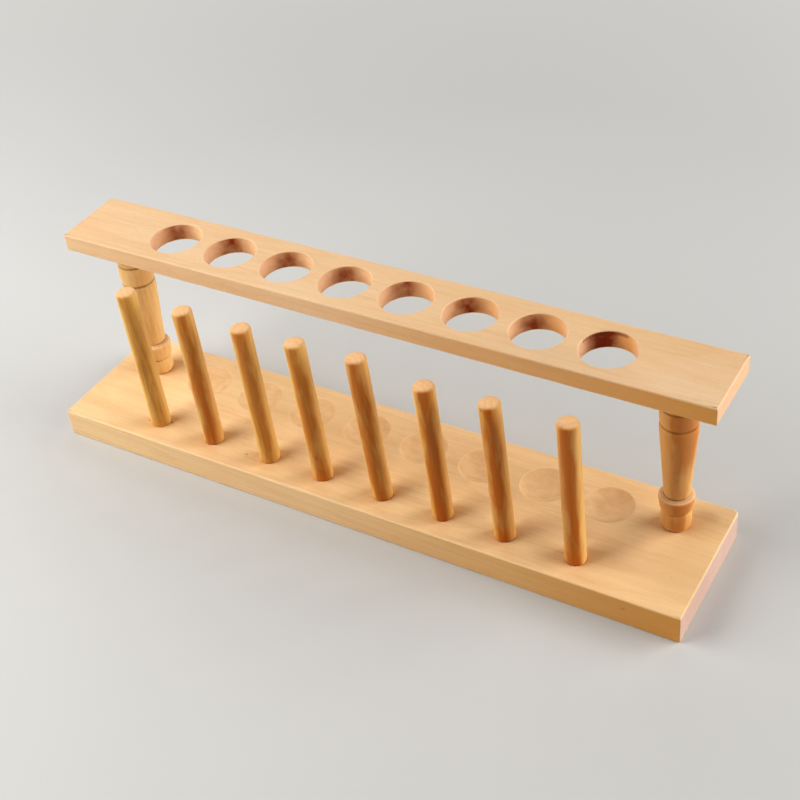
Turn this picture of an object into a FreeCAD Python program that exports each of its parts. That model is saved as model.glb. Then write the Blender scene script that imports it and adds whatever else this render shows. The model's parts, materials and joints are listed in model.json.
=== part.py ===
import FreeCAD, Part
import math
import os

import Sketcher

# A wooden rack for eight test tubes, with a drying peg in front of each place.
#
# A thick base board carries two turned posts, and the posts carry a narrower top board with a
# row of round holes. A tube hangs through a hole and its round end sits in a shallow seat in the
# base board. A wet tube is turned over and put on a peg. Every joint is a round tenon glued in a
# blind hole, so there are twelve separate pieces and none of them moves.
#
# Millimetres. The origin is the middle of the base board's underside, +X runs along the rack,
# +Y from the pegs to the holes, and +Z is up.

TUBE_PLACES = 8
SPHERE_SEAT = "(Dimensions.seat_radius^2 + Dimensions.seat_depth^2) / (2 * Dimensions.seat_depth)"

BOARDS = {
    "board_length": 281.0,
    "base_depth": 59.0,
    "base_thickness": 12.5,
    "top_depth": 31.5,
    "top_thickness": 7.5,
    "top_setback": 1.0,  # the top board's back edge stands this far in from the base board's
    "edge_easing": 0.8,  # radius that sandpaper leaves on the long edges
    "corner_radius": 0.8,
    "worn_corner_radius": 2.2,  # one corner of each board is rounder than the rest
}

TUBES = {
    "tube_pitch": 27.0,
    "tube_row_shift": 1.0,  # both rows are drilled a little off the boards' middle
    "tube_hole_radius": 10.5,
    "tube_hole_easing": 0.5,
    "seat_radius": 9.8,
    "seat_depth": 2.8,
    "seat_easing": 0.6,
}

PEGS = {
    "peg_pitch": 27.2,
    "peg_row_shift": -0.5,
    "peg_row_setback": 11.7,  # from the base board's front edge
    "peg_radius": 4.1,  # an 8 mm dowel that runs a little over
    "peg_dome": 1.6,
    "peg_tenon_radius": 3.8,
    "peg_tenon_length": 9.0,
    "peg_shank_start": 0.6,  # the full radius begins this far above the board
}

# How far each hand-fitted peg stands out, leans towards -X, and is off the even pitch.
PEG_HEIGHTS = (67.5, 66.2, 65.9, 66.3, 67.3, 63.3, 64.2, 65.5)
PEG_LEANS = (0.8, 1.2, 1.5, 2.5, 3.0, 2.3, 2.4, 1.4)
PEG_SHIFTS = (-1.0, -0.1, 1.0, -0.3, 0.2, 0.0, -0.7, 0.9)

# A post's heights are counted from its shoulder on the base board.
POSTS = {
    "post_spacing": 241.6,
    "post_row_shift": 0.7,
    "left_post_offset": -0.6,  # how far behind the tube row each post was drilled
    "right_post_offset": 1.2,
    "glue_gap": 0.06,
    "tenon_chamfer": 0.5,
    "tenon_radius": 4.0,
    "tenon_bottom": -8.5,
    "tenon_top": 72.0,
    "post_axis": 0.0,
    "post_shoulder": 0.0,
    "post_height": 67.0,
    "foot_radius": 5.3,
    "foot_bulge": 5.8,
    "foot_top": 7.0,
    "foot_groove_radius": 5.1,
    "foot_groove": 7.5,
    "collar_low_radius": 6.1,
    "collar_start": 8.0,
    "collar_radius": 6.6,
    "collar_lip": 12.8,
    "collar_bulge": 6.8,
    "collar_top": 15.0,
    "shaft_cut_radius": 4.7,
    "shaft_cut": 15.8,
    "shaft_low_radius": 4.9,
    "shaft_start": 16.4,
    "shaft_high_radius": 7.15,
    "shaft_top": 46.4,
    "head_notch_radius": 6.75,
    "head_notch": 48.0,
    "head_start": 48.6,
    "head_radius": 6.9,
    "head_bulge": 7.2,
    "head_top": 56.6,
    "neck_groove_radius": 6.5,
    "neck_groove": 57.2,
    "neck_start": 57.8,
    "neck_radius": 6.8,
}

# The posts were turned by hand, so a few of the right one's heights differ from the left one's.
RIGHT_POST = {
    "right_foot_top": 8.2,
    "right_foot_groove": 8.7,
    "right_collar_start": 9.2,
    "right_shaft_top": 48.2,
    "right_head_notch": 49.9,
    "right_head_start": 50.5,
}

# A post's turned outline, from the bottom of its axis to the top: radius and height, and the
# bulge of the stretch that ends there, where it is round.
POST_OUTLINE = (
    ("post_axis", "tenon_bottom", None),
    ("tenon_radius", "tenon_bottom", None),
    ("tenon_radius", "post_shoulder", None),
    ("foot_radius", "post_shoulder", None),
    ("foot_radius", "foot_top", "foot_bulge"),
    ("foot_groove_radius", "foot_groove", None),
    ("collar_low_radius", "collar_start", None),
    ("collar_radius", "collar_lip", None),
    ("collar_radius", "collar_top", "collar_bulge"),
    ("shaft_cut_radius", "shaft_cut", None),
    ("shaft_low_radius", "shaft_start", None),
    ("shaft_high_radius", "shaft_top", None),
    ("head_notch_radius", "head_notch", None),
    ("head_radius", "head_start", None),
    ("head_radius", "head_top", "head_bulge"),
    ("neck_groove_radius", "neck_groove", None),
    ("neck_radius", "neck_start", None),
    ("neck_radius", "post_height", None),
    ("tenon_radius", "post_height", None),
    ("tenon_radius", "tenon_top", None),
    ("post_axis", "tenon_top", None),
)

doc = FreeCAD.newDocument("test_tube_rack")


# ---------------------------------------------------------------- the sheet of driving sizes


def peg_dimensions():
    """Each peg's own height, lean and shift, under names such as peg_3_lean."""
    named = {}
    for number, sizes in enumerate(zip(PEG_HEIGHTS, PEG_LEANS, PEG_SHIFTS), start=1):
        for name, size in zip(("height", "lean", "shift"), sizes):
            named[f"peg_{number}_{name}"] = size
    return named


SIZES = {**BOARDS, **TUBES, **PEGS, **peg_dimensions(), **POSTS, **RIGHT_POST}


def make_sheet():
    sheet = doc.addObject("Spreadsheet::Sheet", "Dimensions")
    for row, (name, size) in enumerate(SIZES.items(), start=1):
        sheet.set(f"A{row}", name)
        sheet.set(f"B{row}", str(size))
        sheet.setAlias(f"B{row}", name)
    doc.recompute()


def cell(name):
    return f"Dimensions.{name}"


def bind(feature, **expressions):
    """Binds a feature's properties to expressions of the sheet's cells."""
    for name, expression in expressions.items():
        feature.setExpression(name, expression)


def place(feature, x, y, z):
    """Binds a feature's position to three expressions."""
    for axis, expression in zip("xyz", (x, y, z)):
        feature.setExpression(f"Placement.Base.{axis}", expression)


# ---------------------------------------------------------------- bodies, sketches, features


def make_body(name):
    body = doc.addObject("PartDesign::Body", name)
    body.Label = name
    return body


def origin_feature(body, role):
    return next(item for item in body.Origin.OriginFeatures if item.Role == role)


def make_sketch(body, name, plane="XY_Plane", height=None):
    """A sketch on one of the body's own origin planes, raised by an expression."""
    sketch = body.newObject("Sketcher::SketchObject", name)
    sketch.AttachmentSupport = [(origin_feature(body, plane), "")]
    sketch.MapMode = "FlatFace"
    if height:
        sketch.setExpression("AttachmentOffset.Base.z", height)
    return sketch


def bound(sketch, kind, place_on, expression, value):
    """Adds a dimension to a sketch and binds it to an expression."""
    index = sketch.addConstraint(Sketcher.Constraint(kind, *place_on, value))
    sketch.setExpression(f"Constraints[{index}]", expression)


def circle(sketch, radius, x="0 mm", y="0 mm"):
    """A circle whose radius and centre are expressions."""
    start = FreeCAD.Vector(1, 1, 0)
    index = sketch.addGeometry(Part.Circle(start, FreeCAD.Vector(0, 0, 1), 1.0), False)
    bound(sketch, "DistanceX", (-1, 1, index, 3), x, start.x)
    bound(sketch, "DistanceY", (-1, 1, index, 3), y, start.y)
    bound(sketch, "Radius", (index,), radius, 1.0)


def rectangle(sketch, length, depth):
    """A rectangle centred on the sketch's origin."""
    corners = [FreeCAD.Vector(x, y, 0) for x, y in ((-1, -1), (1, -1), (1, 1), (-1, 1))]
    for start, end in zip(corners, corners[1:] + corners[:1]):
        sketch.addGeometry(Part.LineSegment(start, end), False)
    for line in range(4):
        sketch.addConstraint(Sketcher.Constraint("Coincident", line, 2, (line + 1) % 4, 1))
    for line, way in enumerate(("Horizontal", "Vertical", "Horizontal", "Vertical")):
        sketch.addConstraint(Sketcher.Constraint(way, line))
    sketch.addConstraint(Sketcher.Constraint("Symmetric", 0, 1, 1, 2, -1, 1))
    bound(sketch, "DistanceX", (0, 1, 0, 2), length, 2.0)
    bound(sketch, "DistanceY", (1, 1, 1, 2), depth, 2.0)


def pad(body, name, profile, length):
    feature = body.newObject("PartDesign::Pad", name)
    feature.Profile = profile
    bind(feature, Length=length)
    doc.recompute()
    return feature


def pocket(body, name, profile, length, upward=False):
    """Cuts a profile into the body, downward unless it starts on the underside."""
    before = body.Shape.Volume
    feature = body.newObject("PartDesign::Pocket", name)
    feature.Profile = profile
    feature.Reversed = upward
    bind(feature, Length=length)
    doc.recompute()
    require_less(body, before, name)
    return feature


def along_row(body, name, original):
    """Repeats a feature at every tube place, along +X."""
    before = body.Shape.Volume
    pattern = body.newObject("PartDesign::LinearPattern", name)
    pattern.Originals = [original]
    pattern.Direction = (origin_feature(body, "X_Axis"), [""])
    pattern.Occurrences = TUBE_PLACES
    bind(pattern, Length=f"{TUBE_PLACES - 1} * {cell('tube_pitch')}")
    body.Tip = pattern
    doc.recompute()
    require_less(body, before, name)
    return pattern


def soften(body, name, kind, wanted, size):
    """A fillet or chamfer on every edge of the body that wanted(edge) picks."""
    edges = [f"Edge{i}" for i, edge in enumerate(body.Shape.Edges, start=1) if wanted(edge)]
    if not edges:
        raise RuntimeError(f"{name} finds no edge on {body.Label}")
    base = body.Tip
    feature = body.newObject(f"PartDesign::{kind}", name)
    feature.Base = (base, edges)
    bind(feature, **{"Radius" if kind == "Fillet" else "Size": size})
    doc.recompute()
    return feature


def require_less(body, before, name):
    if not body.Shape.Volume < before - 1e-3:
        raise RuntimeError(f"{name} cuts nothing from {body.Label}")


# ---------------------------------------------------------------- picking edges


def is_round(radius, height=None):
    """Picks whole circles of this radius, at this height if one is given."""

    def wanted(edge):
        if edge.Degenerated or not isinstance(edge.Curve, Part.Circle):
            return False
        level = height is None or abs(edge.Curve.Center.z - height) < 1e-4
        return level and abs(edge.Curve.Radius - radius) < 1e-4

    return wanted


def is_upright(edge):
    start, end = edge.Vertexes[0].Point, edge.Vertexes[-1].Point
    return math.hypot(start.x - end.x, start.y - end.y) < 1e-4


def is_corner(side_x, side_y):
    """Picks the upright edge at one corner of a board centred in its own frame."""

    def wanted(edge):
        point = edge.Vertexes[0].Point
        return is_upright(edge) and point.x * side_x > 0 and point.y * side_y > 0

    return wanted


def lies_level(edge):
    heights = [vertex.Point.z for vertex in edge.Vertexes]
    return max(heights) - min(heights) < 1e-4


# ---------------------------------------------------------------- the boards


def make_board(name, depth, thickness, worn_corner):
    """A board with eased edges, centred in X and Y on its own frame, its underside at z = 0."""
    body = make_body(name)
    outline = make_sketch(body, f"{name}_outline")
    rectangle(outline, cell("board_length"), depth)
    pad(body, f"{name}_blank", outline, thickness)
    is_worn = is_corner(*worn_corner)
    soften(body, f"{name}_worn_corner", "Fillet", is_worn, cell("worn_corner_radius"))

    def is_sharp_corner(edge):
        return is_upright(edge) and is_line(edge) and not is_near_corner(edge, worn_corner)

    soften(body, f"{name}_corners", "Fillet", is_sharp_corner, cell("corner_radius"))
    soften(body, f"{name}_easing", "Fillet", lies_level, cell("edge_easing"))
    return body


def is_line(edge):
    return isinstance(edge.Curve, (Part.Line, Part.LineSegment))


def is_near_corner(edge, corner):
    point = edge.Vertexes[0].Point
    return point.x * corner[0] > 0 and point.y * corner[1] > 0


def first_place():
    """The x of the first tube place."""
    return f"{cell('tube_row_shift')} - {(TUBE_PLACES - 1) / 2} * {cell('tube_pitch')}"


def post_x(side):
    sign = {"left": -1, "right": 1}[side]
    return f"{cell('post_row_shift')} + {sign} * {cell('post_spacing')} / 2"


def tube_row_y():
    """The tube row runs along the top board's centre line."""
    base, top, setback = cell("base_depth"), cell("top_depth"), cell("top_setback")
    return f"{base} / 2 - {setback} - {top} / 2"


def post_y(side, row_y):
    """A post's y where the tube row's y is row_y."""
    return f"{row_y} + {cell(f'{side}_post_offset')}"


def cut_mortises(body, height, depth, row_y, upward):
    """The blind holes that take both posts' tenons."""
    radius = f"{cell('tenon_radius')} + {cell('glue_gap')}"
    for side in ("left", "right"):
        sketch = make_sketch(body, f"{side}_{body.Label}_mortise_circle", height=height)
        circle(sketch, radius, post_x(side), post_y(side, row_y))
        pocket(body, f"{side}_{body.Label}_mortise", sketch, depth, upward)


def cut_seats(body):
    """The shallow round seats in the base board, one under each hole."""
    seat = body.newObject("PartDesign::SubtractiveSphere", "tube_seat")
    bind(seat, Radius=SPHERE_SEAT)
    height = f"{cell('base_thickness')} - {cell('seat_depth')} + {SPHERE_SEAT}"
    place(seat, first_place(), tube_row_y(), height)
    doc.recompute()
    along_row(body, "tube_seats", seat)
    rim = is_round(SIZES["seat_radius"], SIZES["base_thickness"])
    soften(body, "tube_seat_easing", "Fillet", rim, cell("seat_easing"))


def peg_x(number):
    steps = number - (TUBE_PLACES + 1) / 2
    row = f"{cell('peg_row_shift')} + {steps} * {cell('peg_pitch')}"
    return f"{row} + {cell(f'peg_{number}_shift')}"


def peg_row_y():
    return f"{cell('peg_row_setback')} - {cell('base_depth')} / 2"


def cut_peg_sockets(body):
    """The slanting blind holes that take the pegs' glued ends."""
    depth = f"{cell('peg_tenon_length')} + {cell('glue_gap')}"
    for number in range(1, TUBE_PLACES + 1):
        before = body.Shape.Volume
        socket = body.newObject("PartDesign::SubtractiveCylinder", f"peg_socket_{number}")
        bind(socket, Radius=f"{cell('peg_tenon_radius')} + {cell('glue_gap')}")
        bind(socket, Height=f"2 * ({depth})")
        lean = cell(f"peg_{number}_lean")
        socket.Placement = leaning_placement()
        place(
            socket,
            f"{peg_x(number)} + sin({lean} * 1 deg) * ({depth})",
            peg_row_y(),
            f"{cell('base_thickness')} - cos({lean} * 1 deg) * ({depth})",
        )
        bind_lean(socket, number)
        doc.recompute()
        require_less(body, before, socket.Label)


def leaning_placement():
    """A placement whose rotation is about Y, so that its angle can be bound."""
    return FreeCAD.Placement(FreeCAD.Vector(), FreeCAD.Rotation(FreeCAD.Vector(0, 1, 0), -1))


def bind_lean(feature, number):
    feature.setExpression("Placement.Rotation.Angle", f"-{cell(f'peg_{number}_lean')}")


def make_base_board():
    thickness = cell("base_thickness")
    body = make_board("base_board", cell("base_depth"), thickness, worn_corner=(1, 1))
    cut_seats(body)
    depth = f"{cell('glue_gap')} - {cell('tenon_bottom')}"
    cut_mortises(body, thickness, depth, tube_row_y(), upward=False)
    cut_peg_sockets(body)
    return body


def make_top_board():
    """The top board is drawn about its own centre line and lifted onto the posts."""
    thickness = cell("top_thickness")
    body = make_board("top_board", cell("top_depth"), thickness, worn_corner=(-1, 1))
    ring = make_sketch(body, "tube_hole_circle", height=thickness)
    circle(ring, cell("tube_hole_radius"), first_place())
    hole = pocket(body, "tube_hole", ring, thickness)
    along_row(body, "tube_holes", hole)
    rims = is_round(SIZES["tube_hole_radius"])
    soften(body, "tube_hole_easing", "Fillet", rims, cell("tube_hole_easing"))
    depth = f"{cell('tenon_top')} - {cell('post_height')} + {cell('glue_gap')}"
    cut_mortises(body, "0 mm", depth, "0", upward=True)
    place(body, "0 mm", tube_row_y(), f"{cell('base_thickness')} + {cell('post_height')}")
    return body


# ---------------------------------------------------------------- the posts


def outline_arc(start, end, bulge):
    """An arc between two points of the outline whose middle reaches the radius bulge."""
    return Part.Arc(start, FreeCAD.Vector(bulge, (start.y + end.y) / 2, 0), end)


def arc_radius(corner, bulge, low, high):
    """The radius of an arc that rises from the corner radius to the bulge, as an expression."""
    rise = f"({cell(bulge)} - {cell(corner)})"
    chord = f"({cell(high)} - {cell(low)})"
    return f"({chord}^2 / 4 + {rise}^2) / (2 * {rise})"


def own_size(side, name):
    """The name of one post's own size, or of the size that both posts share."""
    own = f"{side}_{name}"
    return own if own in SIZES else name


def draw_outline(sketch, side):
    """Draws the outline with every point bound to the sheet, and closes it along the axis."""
    rows = [(radius, own_size(side, height), bulge) for radius, height, bulge in POST_OUTLINE]
    points = [FreeCAD.Vector(SIZES[radius], SIZES[height], 0) for radius, height, _ in rows]
    for start, end, (_, _, bulge) in zip(points, points[1:] + points[:1], rows[1:] + rows[:1]):
        line = outline_arc(start, end, SIZES[bulge]) if bulge else Part.LineSegment(start, end)
        sketch.addGeometry(line, False)
    for index, (radius, height, _) in enumerate(rows):
        after = (index + 1) % len(rows)
        sketch.addConstraint(Sketcher.Constraint("Coincident", index, 2, after, 1))
        bound(sketch, "DistanceX", (-1, 1, index, 1), cell(radius), SIZES[radius])
        bound(sketch, "DistanceY", (-1, 1, index, 1), cell(height), SIZES[height])
    for index, ((_, low, _), (radius, high, bulge)) in enumerate(zip(rows, rows[1:])):
        if bulge:
            expression = arc_radius(radius, bulge, low, high)
            bound(sketch, "Radius", (index,), expression, sketch.Geometry[index].Radius)


def make_post(side):
    name = f"{side}_post"
    body = make_body(name)
    sketch = make_sketch(body, f"{name}_outline", plane="XZ_Plane")
    draw_outline(sketch, side)
    turned = body.newObject("PartDesign::Revolution", f"{name}_turned")
    turned.Profile = sketch
    turned.ReferenceAxis = (sketch, ["V_Axis"])
    turned.Angle = 360.0
    doc.recompute()
    for end in ("tenon_bottom", "tenon_top"):
        rim = is_round(SIZES["tenon_radius"], SIZES[end])
        soften(body, f"{name}_{end}_chamfer", "Chamfer", rim, cell("tenon_chamfer"))
    place(body, post_x(side), post_y(side, tube_row_y()), cell("base_thickness"))
    return body


# ---------------------------------------------------------------- the pegs


def make_peg(number):
    """A dowel with a rounded top and a slightly thinner glued end, leaning as it was glued in."""
    name = f"peg_{number}"
    body = make_body(name)
    start = cell("peg_shank_start")
    end_length = f"{cell('peg_tenon_length')} + {start}"
    tenon = make_sketch(body, f"{name}_tenon_circle", height=f"-{cell('peg_tenon_length')}")
    circle(tenon, cell("peg_tenon_radius"))
    pad(body, f"{name}_tenon", tenon, end_length)
    shank = make_sketch(body, f"{name}_shank_circle", height=start)
    circle(shank, cell("peg_radius"))
    pad(body, f"{name}_shank", shank, f"{cell(f'{name}_height')} - {start}")
    top = is_round(SIZES["peg_radius"], SIZES[f"{name}_height"])
    soften(body, f"{name}_dome", "Fillet", top, cell("peg_dome"))
    bottom = is_round(SIZES["peg_tenon_radius"], -SIZES["peg_tenon_length"])
    soften(body, f"{name}_chamfer", "Chamfer", bottom, cell("tenon_chamfer"))
    body.Placement = leaning_placement()
    place(body, peg_x(number), peg_row_y(), cell("base_thickness"))
    bind_lean(body, number)
    return body


# ---------------------------------------------------------------- checks and files


def check(bodies):
    doc.recompute()
    for item in doc.Objects:
        if "Invalid" in item.State or "Error" in item.State:
            raise RuntimeError(f"{item.Name} is {item.State}")
    for body in bodies:
        shape = body.Shape
        if shape.isNull() or not shape.isValid() or len(shape.Solids) != 1:
            raise RuntimeError(f"{body.Label} isn't one valid solid")


def write(bodies):
    os.makedirs("parts", exist_ok=True)
    for body in bodies:
        body.Shape.exportStep(f"parts/{body.Label}.step")
        box = body.Shape.BoundBox
        sizes = " x ".join(f"{size:.1f}" for size in (box.XLength, box.YLength, box.ZLength))
        print(f"{body.Label}: {sizes} mm, {body.Shape.Volume / 1000:.2f} cm3")


make_sheet()
pieces = [make_base_board(), make_top_board()]
pieces += [make_post("left"), make_post("right")]
pieces += [make_peg(number) for number in range(1, TUBE_PLACES + 1)]
check(pieces)
write(pieces)
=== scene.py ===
import json
import math
import random

import bmesh
import bpy
from mathutils import Euler, Matrix, Vector, noise


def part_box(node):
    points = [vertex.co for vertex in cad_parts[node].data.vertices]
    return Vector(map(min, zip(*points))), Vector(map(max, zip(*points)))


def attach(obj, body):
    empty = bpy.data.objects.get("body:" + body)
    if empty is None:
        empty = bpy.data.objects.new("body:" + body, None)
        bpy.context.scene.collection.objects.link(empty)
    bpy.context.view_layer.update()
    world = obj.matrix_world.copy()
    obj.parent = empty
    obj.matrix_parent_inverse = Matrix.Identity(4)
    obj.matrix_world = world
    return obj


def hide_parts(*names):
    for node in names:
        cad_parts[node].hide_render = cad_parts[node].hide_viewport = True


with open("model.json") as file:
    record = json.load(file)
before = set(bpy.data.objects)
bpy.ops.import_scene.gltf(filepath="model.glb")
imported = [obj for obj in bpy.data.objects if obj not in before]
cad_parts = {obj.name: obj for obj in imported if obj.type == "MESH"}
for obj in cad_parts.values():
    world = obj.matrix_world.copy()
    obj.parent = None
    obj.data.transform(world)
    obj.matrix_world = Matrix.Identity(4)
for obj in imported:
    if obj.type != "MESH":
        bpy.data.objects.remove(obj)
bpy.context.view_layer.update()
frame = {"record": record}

# A wooden rack for eight test tubes: a base board with eight round seats and eight drying pegs,
# two turned posts, and a drilled top board. Every piece is bare, sanded hardwood.
#
# Lengths are millimetres in the CAD part's frame, except where Blender itself takes metres.

MM = 0.001
TURN = 2 * math.pi
QUARTER = math.pi / 2

# ---------------------------------------------------------------- sizes that the frame doesn't say

EDGE_EASING = 0.7
EDGE_WANDER = -0.16  # how far the hand-sanded easing comes and goes, widest where the noise is lowest
WANDER_LENGTH = 9.0  # over about this length along an edge
OTHER_EDGE = Vector((0, 0, 40.0))  # a shift that makes a board's upper edge wander on its own
EASING_STEPS = 5
CORNER_RADIUS = 0.5
WORN_CORNER_RADIUS = 2.2
# Each board's corners, anticlockwise from +X+Y.
BASE_CORNERS = (WORN_CORNER_RADIUS, CORNER_RADIUS, CORNER_RADIUS, CORNER_RADIUS)
TOP_CORNERS = (CORNER_RADIUS, WORN_CORNER_RADIUS, CORNER_RADIUS, CORNER_RADIUS)
CORNER_STEPS = 8
EDGE_POINT_SPACING = 4.0

HOLE_EASING = 0.5
HOLE_WANDER = 0.12
HOLE_POINTS = 112
WALL_SHADE_ANGLE = 131.0  # painted shade: a hole's wall is darkest where it faces this way and the opposite way, in degrees from +X
WALL_SHADE_LEAST = 0.06
WALL_SHADE_NARROWNESS = 7
DARKEST_HOLE = 8  # its wall gets the strongest painted shade
DARKEST_HOLE_SHADE = 1.9
RIM_SHADE_ARC = range(80, 170, 8)  # angles of painted shade marks just under that hole's rim
RIM_SHADE_DROP = 0.5
RIM_SHADE_MARK = (2.4, 1.1, 0.55)  # a mark's length, width and strength

SEAT_RADIUS = 9.8
SEAT_DEPTH = 2.7
SEAT_EASING = 0.4
# painted shade inside a seat's hollow
SEAT_SHADE = 0.15
SEAT_POINTS = 96
SEAT_RINGS = 16

SOCKET_RADIUS = 4.07
SOCKET_DEPTH = 9.2
SOCKET_RIM = 0.06
SOCKET_TEAR = 0.35
TEAR_ACROSS_GRAIN = 0.35  # the share of a tear that shows even across the grain
TEAR_LENGTH = 2.6
TEAR_RINGS = 3
TEAR_CIRCLE = 10  # the noise is read round a circle of this radius, this much higher for each ring
TEAR_RING_RISE = 2
SOCKET_POINTS = 72

MORTISE_RADIUS = 4.06
MORTISE_DEPTH_BELOW = 8.7
MORTISE_DEPTH_ABOVE = 5.2
MORTISE_RIM = 0.25

PEG_TENON_RADIUS = 3.8
PEG_TENON_LENGTH = 9.0
PEG_TENON_CHAMFER = (0.4, 0.5)  # across and along
PEG_TENON_TOP = -0.6
PEG_NECK = (-0.15, 0.06)  # in the mouth of the socket: height, and how much narrower than the shank
PEG_SHANK_START = 0.6
PEG_DOME = 1.6  # the rounding of a peg's upper rim
PEG_CROWN = 0.25
PEG_POINTS = 64
PEG_SPANS = 40
PEG_DOME_STEPS = 8
PEG_CROWN_SHARES = (0.75, 0.5, 0.25)  # the rings on a peg's flat top, as shares of its radius
PEG_UNEVENNESS = 0.045
PEG_TURN = 2.4  # each peg is turned this much further about its axis, in radians

POST_POINTS = 112
POST_STEP = 0.45
POST_UNEVENNESS = 0.03
POST_SOFTENING = 2  # passes of sandpaper
POST_TURN = 1.3  # as for the pegs
POST_WOOD_RADIUS = 6.0  # of a typical stretch, for the painted shade and light and the specks

# A post's turned outline from the bottom of its axis: radius, height above the base board, and the
# radius at the middle of the stretch that ends there, where that stretch is round.
POST_OUTLINE = (
    (4.0, -8.5, None),
    (4.0, 0.0, None),
    (5.3, 0.0, None),
    (5.3, 7.0, 5.8),
    (5.1, 7.5, None),
    (6.1, 8.0, None),
    (6.6, 12.8, None),
    (6.6, 15.0, 6.8),
    (4.7, 15.8, None),
    (4.9, 16.4, None),
    (7.15, 46.4, None),
    (6.75, 48.0, None),
    (6.9, 48.6, None),
    (6.9, 56.6, 7.2),
    (6.5, 57.2, None),
    (6.8, 57.8, None),
    (6.8, 67.0, None),
    (4.0, 67.0, None),
    (4.0, 72.0, None),
)
# The grooves get a darker tone, partly dust and partly painted shade.
POST_GROOVES = (7.5, 15.8, 48.0, 57.2)
GROOVE_HALF_WIDTH = 0.5
# The left post's heights are the ones above. These are the right one's where they differ.
RIGHT_HEIGHTS = {7.0: 8.2, 7.5: 8.7, 8.0: 9.2, 46.4: 48.2, 48.0: 49.9, 48.6: 50.5}

# Seeds for the unevenness of each piece and hole. Holes and pegs count up from theirs.
BASE_SEED = 1
TOP_SEED = 2
HOLE_SEED = 3
PEG_SEED = 20
POST_SEEDS = {"left": 1, "right": 2}

TURNED_WANDER_LENGTH = 3.2
TURNED_WANDER_STRETCH = 4  # the unevenness of turned wood runs this much longer along its axis
SHARP_ANGLE = 42.0


# ---------------------------------------------------------------- places that the frame says


def box_of(node):
    """A CAD node's lowest and highest corners, in millimetres."""
    low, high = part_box(node)
    return low / MM, high / MM


def mounts_called(prefix):
    """The record's mounts with that name, in order: centre, axis, radius and length in millimetres."""
    found = []
    for mount in frame["record"]["mounts"]:
        if mount["name"].startswith(prefix):
            centre = Vector(mount["pos_m"]) / MM
            axis, dims = Vector(mount["axis"]), mount["dims"]
            found.append((centre, axis, dims["r_mm"], dims["length_mm"]))
    return found


BASE_LOW, BASE_HIGH = box_of("base_board")
TOP_LOW, TOP_HIGH = box_of("top_board")
TUBE_HOLES = mounts_called("tube_hole_")
PEGS = mounts_called("drying_peg_")


def post_axis(node):
    """Where a post's axis meets the base board's top."""
    low, high = box_of(node)
    middle = (low + high) / 2
    return Vector((middle.x, middle.y, BASE_HIGH.z))


POST_FEET = {side: post_axis(f"{side}_post") for side in ("left", "right")}


def peg_foot(peg):
    """Where a peg's axis meets the base board's top."""
    centre, axis, _, length = peg
    return centre - axis * (length / 2 + PEG_SHANK_START)


# ---------------------------------------------------------------- meshes


class Shell:
    """A closed mesh in the making, whose points carry two marks: "edge" where an edge is eased, for a
    paler tone that is partly wear and partly painted highlight, and "cut" where a tool went, for a darker
    tone that is partly tool marks and partly painted shade, over 1 where that painted shade is strongest.
    The points of a board carry the surface's own normal too."""

    def __init__(self):
        self.mesh = bmesh.new()
        self.normals = []
        self.marks = {"edge": [], "cut_and_shade": []}

    def point(self, place, normal=None, edge=0.0, cut_and_shade=0.0):
        if normal is not None:
            self.normals.append(normal.normalized())
        self.marks["edge"].append(edge)
        self.marks["cut_and_shade"].append(cut_and_shade)
        return self.mesh.verts.new(place)

    def bridge(self, lower, upper):
        """Faces between two rings with as many points each."""
        for here in range(len(lower)):
            before = here - 1
            self.mesh.faces.new((lower[before], lower[here], upper[here], upper[before]))

    def bridge_all(self, rings):
        for lower, upper in zip(rings, rings[1:]):
            self.bridge(lower, upper)

    def fan(self, ring, tip):
        """Faces from a ring to one point."""
        for here in range(len(ring)):
            self.mesh.faces.new((ring[here - 1], ring[here], tip))

    def fill(self, rings):
        """A flat face inside the first ring and outside the others."""
        edges = []
        for ring in rings:
            edges += [self.mesh.edges.get((ring[here - 1], ring[here])) for here in range(len(ring))]
        bmesh.ops.triangle_fill(self.mesh, use_beauty=True, edges=edges)

    def finished(self, name):
        """The mesh in metres, shaded smooth by its own normals or else with sharp edges left sharp."""
        bmesh.ops.recalc_face_normals(self.mesh, faces=self.mesh.faces)
        data = bpy.data.meshes.new(name)
        self.mesh.to_mesh(data)
        self.mesh.free()
        for mark, values in self.marks.items():
            data.attributes.new(mark, "FLOAT", "POINT").data.foreach_set("value", values)
        data.transform(Matrix.Scale(MM, 4))
        data.shade_smooth()
        if self.normals:
            data.normals_split_custom_set_from_vertices(self.normals)
        else:
            data.set_sharp_from_angle(angle=math.radians(SHARP_ANGLE))
        return data


def add_piece(data, node, material, place=None):
    """The mesh as an object that stands for a CAD node, which it hides, attached to the root body."""
    data.materials.append(material)
    made = bpy.data.objects.new(data.name, data)
    bpy.context.scene.collection.objects.link(made)
    if place is not None:
        made.matrix_world = place
    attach(made, "root")
    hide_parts(node)


def wander(place, size, seed):
    """Smooth noise from -1 to 1 that changes over about size millimetres."""
    return noise.noise(place / size + Vector((seed * 17.3, seed * 5.1, seed * 9.7)))


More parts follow.
